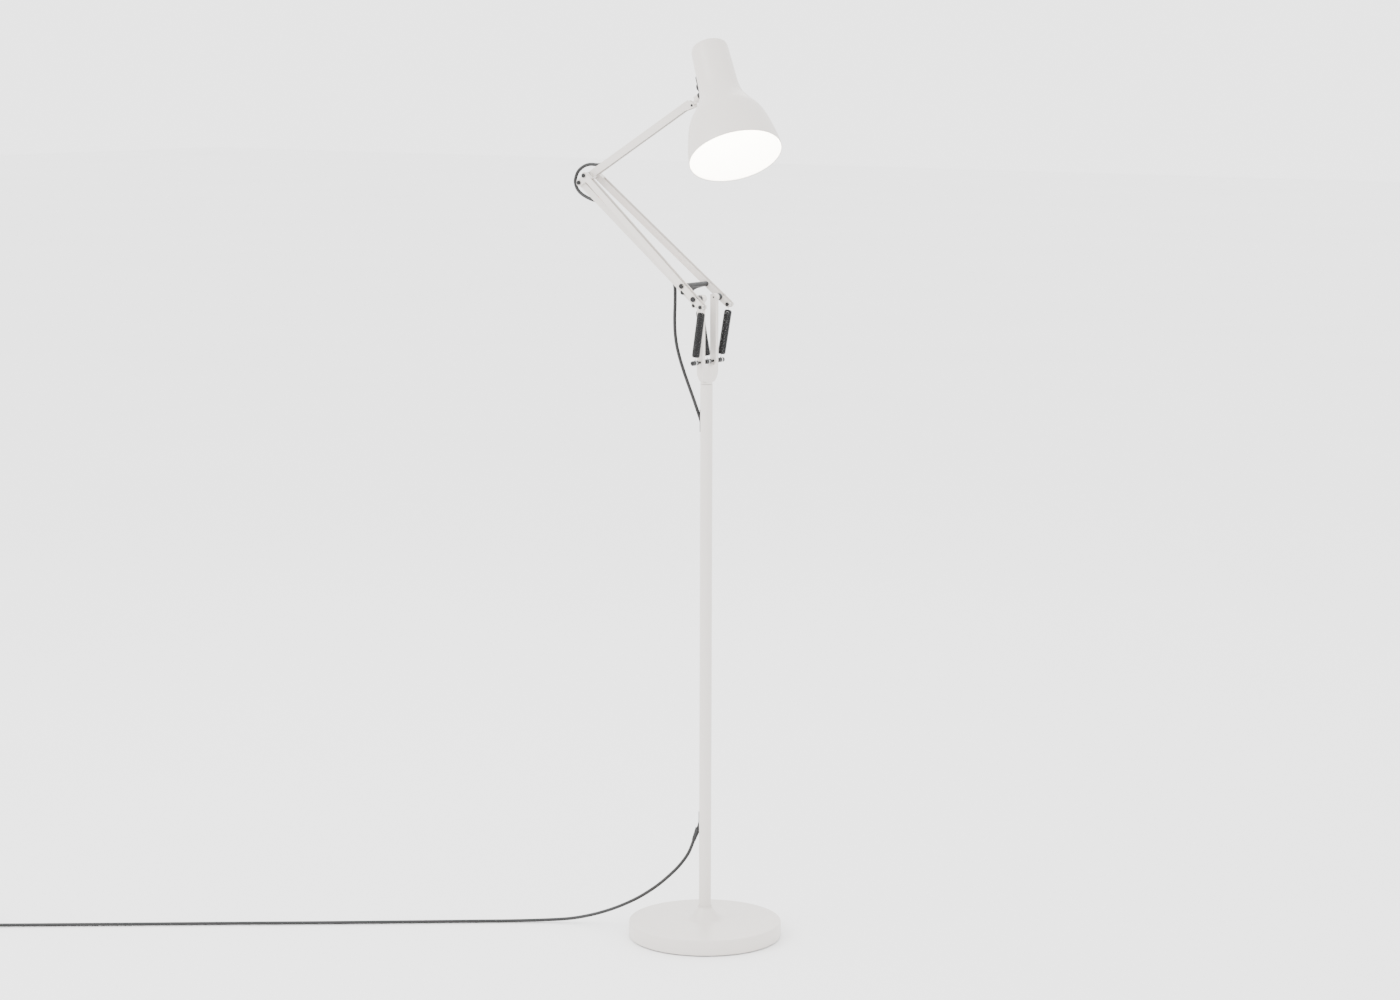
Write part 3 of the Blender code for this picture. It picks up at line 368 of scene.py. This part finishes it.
def tube(route, radii, sides):
    """Vertices and faces of a closed round tube. radii is one radius, or one for each point."""
    if not isinstance(radii, (list, tuple)):
        radii = [radii] * len(route)
    ways = directions(route)
    across = ways[0].orthogonal().normalized()
    vertices = []
    for place, way, radius in zip(route, ways, radii):
        across = (across - way * across.dot(way)).normalized()
        up = way.cross(across)
        for i in range(sides):
            angle = 2 * math.pi * i / sides
            vertices.append(place + (across * math.cos(angle) + up * math.sin(angle)) * radius)
    faces = []
    for ring in range(len(route) - 1):
        for i in range(sides):
            a = ring * sides + i
            b = ring * sides + (i + 1) % sides
            faces.append((a, b, b + sides, a + sides))
    faces.append(tuple(reversed(range(sides))))
    faces.append(tuple(range(len(vertices) - sides, len(vertices))))
    return vertices, faces


def strands(name, parts, materials):
    """One piece made of several tubes. Each part is a route, a radius, a count of sides and a material."""
    vertices = []
    faces = []
    indices = []
    for route, radius, sides, index in parts:
        more, polygons = tube(route, radius, sides)
        faces.extend(tuple(corner + len(vertices) for corner in polygon) for polygon in polygons)
        indices.extend([index] * len(polygons))
        vertices.extend(more)
    return add_mesh(name, vertices, faces, materials, indices)


def turned(name, profile, place, steps, materials, inner_from=None):
    """A closed section turned about local Z. Faces from its point inner_from on take material 1."""
    count = len(profile)
    vertices = []
    for step in range(steps):
        angle = 2 * math.pi * step / steps
        for radius, height in profile:
            vertices.append(place @ Vector((radius * math.cos(angle), radius * math.sin(angle), height)))
    faces = []
    indices = []
    for step in range(steps):
        following = (step + 1) % steps
        for i in range(count):
            j = (i + 1) % count
            faces.append((step * count + i, following * count + i, following * count + j, step * count + j))
            indices.append(int(inner_from is not None and i >= inner_from))
    return add_mesh(name, vertices, faces, materials, indices)


def rounded(points, spacing):
    """A profile's points in metres, with more between them on a smooth curve."""
    route = smooth_route([Vector((r, z, 0)) * MM for r, z in points], spacing)
    return [(point.x, point.y) for point in route]


def world(*coordinates):
    return Vector(coordinates) * MM


def upper_point(x, z):
    """A point of the upper arm's own frame, in the row frame."""
    return ELBOW + Vector((0.857 * x - 0.515 * z, 0, 0.515 * x + 0.857 * z)) * MM


def link_point(x, z):
    """A point of the link's own frame, in the row frame."""
    return LINK_PIN + Vector((-0.777 * x - 0.629 * z, 0, 0.629 * x - 0.777 * z)) * MM


def flex(name, points):
    """A piece of flex along a smooth curve through the points, and the curve's own points."""
    route = smooth_route(points, ROUTE_SPACING)
    piece = strands(name, [(route, CORD_RADIUS, CORD_SIDES, 0)], [FINISHES["cord_cover"]])
    return piece, route


def ease(share):
    share = min(max(share, 0.0), 1.0)
    return share * share * (3 - 2 * share)


def coil_points():
    """Clockwise turns: in along the floor, up the inner column, and down the outer one."""
    first = math.atan2(-SIDE_DIRECTION.y, -SIDE_DIRECTION.x)
    count = round(COIL_TURNS * 24)
    points = []
    for i in range(count + 1):
        turn = COIL_TURNS * i / count
        inward = ease(turn / 0.6)
        outward = ease((turn - 2.6) / 0.55)
        radius = COIL_OUTER + (COIL_INNER - COIL_OUTER) * (inward - outward)
        rise = min(max(turn - 0.6, 0.0), 2.0) * 6.15
        fall = max(turn - 3.15, 0.0) * 6.1
        angle = first - 2 * math.pi * turn
        flat = Vector((math.cos(angle), math.sin(angle), 0)) * radius
        points.append(COIL_CENTRE + flat + world(0, 0, 4.7 + rise - fall))
    return points


def make_exit_sleeve(route):
    """The tapered sleeve on the flex where it leaves the pole."""
    radii = [SLEEVE_WIDE - SLEEVE_TAPER * i for i in range(len(route))]
    sleeve = strands("exit_sleeve", [(route, radii, 20, 0)], [FINISHES["black_plastic"]])
    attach(sleeve, "base")
    return sleeve


def make_mains_flex():
    """The mains flex from the pole's lower slot, along the floor and round its coil to the plug."""
    run = [world(-14.25, -0.25, 196.3), world(-20.5, -1.2, 180), world(-31.8, -4.4, 149),
           world(-46.3, -9, 126), world(-64, -14, 105.8), world(-89, -22, 82), world(-118, -31.5, 60),
           world(-147, -41, 42.8), world(-176, -51, 29), world(-208, -62.5, 17.2), world(-243, -78, 8.4),
           world(-284, -102.5, 4.4), world(-331, -138, 3.2), world(-385, -180, 3.2),
           world(-497, -267, 3.2), world(-611, -355, 3.2), world(-726, -442, 3.2),
           world(-840, -529, 3.2), world(-954, -616, 3.2), world(-1061, -697.5, 3.4)]
    start = COIL_CENTRE - SIDE_DIRECTION * COIL_OUTER - RUN_DIRECTION * COIL_LEAD
    tail = COIL_CENTRE + RUN_DIRECTION * COIL_OUTER + SIDE_DIRECTION * COIL_LEAD
    start.z = COIL_ENTRY_HEIGHT
    tail.z = PLUG_HEIGHT
    points = run + [start] + coil_points()[1:] + [tail]
    piece, route = flex("mains_flex", points)
    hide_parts("mains_cord", "cord_coil")
    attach(piece, "base")
    sleeve = make_exit_sleeve(route[1:10])


def make_elbow_loop():
    """The free loop of flex round the elbow, from the upper arm's channel to the link's."""
    elbow = [upper_point(45.5, 1), upper_point(42, 1.05), upper_point(37, 2), upper_point(30, 4.9),
             upper_point(22, 8.4), world(-254, 0, 1364.6), world(-268.5, 0, 1360),
             world(-280.5, 0, 1350.4), world(-286.3, 0, 1335), world(-282.5, 0, 1321.8),
             world(-272.8, 0, 1312.5), world(-260, 0, 1306.2), link_point(291, 9.5),
             link_point(283, 5.2), link_point(276.5, 2.2), link_point(272.5, 1.1), link_point(269, 1)]
    piece, route = flex("elbow_flex", elbow)
    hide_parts("elbow_cord")
    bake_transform(piece)


def make_arm_loop():
    """The free loop from the link's channel to the pole's upper slot, in two pieces that meet by the fork."""
    upper = [link_point(80, 1), link_point(76.5, 1.05), link_point(70.5, 2), link_point(64.5, 4.2),
             world(-68.6, 0, 1158.5), world(-67.6, 0, 1150), world(-67.6, 0, 1128),
             world(-68.4, 0, 1103), world(-67.6, 0, 1078), world(-64, 0, 1054.5), world(-57, 0, 1031)]
    lower = [world(-57, 0, 1031), world(-48, 0, 1008), world(-37.5, 0, 984), world(-26.8, 0, 960.2),
             world(-18.2, 0, 940)]
    whole = smooth_route(upper + lower[1:], ROUTE_SPACING)
    split = min(range(len(whole)), key=lambda i: (whole[i] - upper[-1]).length)
    cover = [FINISHES["cord_cover"]]
    top = strands("loop_flex_upper", [(whole[:split + 1], CORD_RADIUS, CORD_SIDES, 0)], cover)
    bottom = strands("loop_flex_lower", [(whole[split:], CORD_RADIUS, CORD_SIDES, 0)], cover)
    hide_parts("arm_loop")
    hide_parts("arm_loop")
    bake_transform(top)
    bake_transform(bottom)


# Springs
def ring_route(centre, radius, turn_from):
    """Most of a circle about Y, from and back to the side that faces the spring."""
    start = math.atan2(turn_from.z, turn_from.x)
    route = []
    for i in range(25):
        angle = start + math.radians(12) + math.radians(336) * i / 24
        route.append(centre + Vector((math.cos(angle), 0, math.sin(angle))) * radius)
    return route


def helix(middle, direction, length, pitch, radius):
    """A coil about its direction, whose last two turns at each end draw in a little."""
    across = direction.orthogonal().normalized()
    up = direction.cross(across)
    count = round(length / pitch * STEPS_PER_TURN)
    route = []
    for i in range(count + 1):
        along = -length / 2 + length * i / count
        angle = 2 * math.pi * i / STEPS_PER_TURN
        close = 1 - 0.25 * max(0.0, 1 - (length / 2 - abs(along)) / (2 * pitch))
        outward = across * math.cos(angle) + up * math.sin(angle)
        route.append(middle + direction * along + outward * radius * close)
    return route


def make_spring(side):
    """A close-wound black spring with its plated end hooks."""
    top = world(*SPRING_TOPS[side])
    bottom = world(*SPRING_ANCHORS[side])
    direction = (top - bottom).normalized()
    middle = (top + bottom) / 2
    body_top = middle + direction * (SPRING_LENGTH / 2 - STEM_OVERLAP)
    body_bottom = middle - direction * (SPRING_LENGTH / 2 - STEM_OVERLAP)
    wound = helix(middle, direction, SPRING_LENGTH - 2 * SPRING_WIRE, SPRING_PITCH, SPRING_RADIUS)
    parts = [(wound, SPRING_WIRE, 6, 0)]
    tops = [(ring_route(top, TOP_HOOK, -direction), HOOK_WIRE, 8, 1),
            (smooth_route([body_top, top - direction * TOP_HOOK], 2 * MM), HOOK_WIRE, 8, 1)]
    bottoms = [(ring_route(bottom, BOTTOM_HOOK, direction), HOOK_WIRE, 8, 1),
               (smooth_route([body_bottom, bottom + direction * BOTTOM_HOOK], 2 * MM), HOOK_WIRE, 8, 1)]
    materials = [FINISHES["black_steel"], FINISHES["bright_steel"]]
    node = "spring_" + side
    if side != "middle":
        piece = strands("wound_" + node, parts + tops + bottoms, materials)
        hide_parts(node)
        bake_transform(piece)
        return
    hook = strands("hook_" + node, tops, materials)
    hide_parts(node)
    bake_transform(hook)
    piece = strands("wound_" + node, parts + bottoms, materials)
    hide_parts(node)
    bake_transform(piece)


# Turned pieces
def sharpen(piece):
    """Rounds the tight corners of a turned piece and keeps its flats flat."""
    bevel = piece.modifiers.new("edges", "BEVEL")
    bevel.width = 0.3 * MM
    bevel.segments = 2
    bevel.limit_method = "ANGLE"
    bevel.angle_limit = SMOOTH_UNDER
    bevel.harden_normals = True


def make_base_cover():
    outer = [(11.15, 55), (12.6, 55), (12.6, 52), (14.5, 49.3), (22, 40.2), (28, 33), (31.5, 30.6),
             (36, 29.9), (131, 29.3), (134.2, 28.5), (135.4, 26.9), (135.7, 25), (135.7, 4),
             (134.9, 1.8), (133.5, 1.0)]
    inner = [(131.9, 1.8), (131.9, 24.4), (130, 26.1), (36, 27.1), (30, 28.3), (25.5, 31.8), (19, 40),
             (13.5, 47), (11.15, 49)]
    profile = [(r * MM, z * MM) for r, z in outer + inner]
    piece = turned("spun_base_cover", profile, Matrix.Identity(4), 180, [FINISHES["white_paint"]])
    sharpen(piece)
    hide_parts("base_cover")
    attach(piece, "base")


def make_shade():
    outer = [(30.6, 74.4), (32.0, 70), (32.4, 62), (33.2, 38), (34.1, 4), (35.2, -12), (37.6, -24),
             (42.5, -36), (51.5, -51), (59.5, -63), (66, -76), (71.6, -94), (76.3, -114), (78.8, -128),
             (80.2, -140), (80.5, -145)]
    curve = rounded(outer, 3 * MM)
    ways = directions([Vector((r, z, 0)) for r, z in curve])
    inside = [(r + way.y * SHADE_WALL * MM, z - way.x * SHADE_WALL * MM) for (r, z), way in zip(curve, ways)]
    outside = [(1.2 * MM, 76 * MM), (27.5 * MM, 76 * MM)] + curve + [(80.1 * MM, -146 * MM)]
    inside = list(reversed(inside)) + [(27.5 * MM, 74.8 * MM), (1.2 * MM, 74.8 * MM)]
    up = -SHADE_DOWN
    side = up.cross(SHADE_LINE)
    place = Matrix((SHADE_LINE, side, up)).transposed().to_4x4()
    place.translation = SHADE_CENTRE
    # The inner faces take the enamel with the painted glow that stands in for the bulb's light.
    materials = [FINISHES["white_paint"], PAINTED_GLOW_ENAMEL]
    piece = turned("spun_shade", outside + inside, place, 144, materials, inner_from=len(outside))
    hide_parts("shade")
    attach(piece, "head")


# Studio
def make_floor():
    graph = Graph("studio_floor")
    material = graph.finish(
        base_color=graph.colours(graph.noise(0.8), (0.93, 0.93, 0.93), (0.95, 0.95, 0.95)),
        roughness=graph.between(graph.noise(3), 0.75, 0.85),
    )
    size = FLOOR_HALF_SIZE
    corners = [(-size, -size, 0), (size, -size, 0), (size, size, 0), (-size, size, 0)]
    floor = add_mesh("studio_floor", corners, [(0, 1, 2, 3)], [material])
    floor.location.z = -FLOOR_DROP


def area_light(name, place, aim, size, power):
    data = bpy.data.lights.new(name, "AREA")
    data.shape = "DISK"
    data.size = size
    data.energy = power
    light = bpy.data.objects.new(name, data)
    bpy.context.collection.objects.link(light)
    light.location = place
    light.rotation_euler = (Vector(aim) - Vector(place)).to_track_quat("-Z", "Y").to_euler()


def make_lights():
    world_data = bpy.data.worlds.new("studio")
    world_data.use_nodes = True
    background = world_data.node_tree.nodes["Background"]
    background.inputs["Color"].default_value = (1, 1, 1, 1)
    background.inputs["Strength"].default_value = 3.2
    bpy.context.scene.world = world_data
    area_light("key", (-1.6, -3.2, 3.6), LIGHT_AIM, 2.4, 110)
    area_light("fill", (3.4, -1.6, 2.4), LIGHT_AIM, 2.4, 8)
    area_light("rim", (-1.8, 2.6, 3.0), LIGHT_AIM, 1.8, 25)


make_camera()
finish_cad_nodes()
make_mains_flex()
make_elbow_loop()
make_arm_loop()
for spring in SPRING_TOPS:
    make_spring(spring)
make_base_cover()
make_shade()
make_floor()
make_lights()
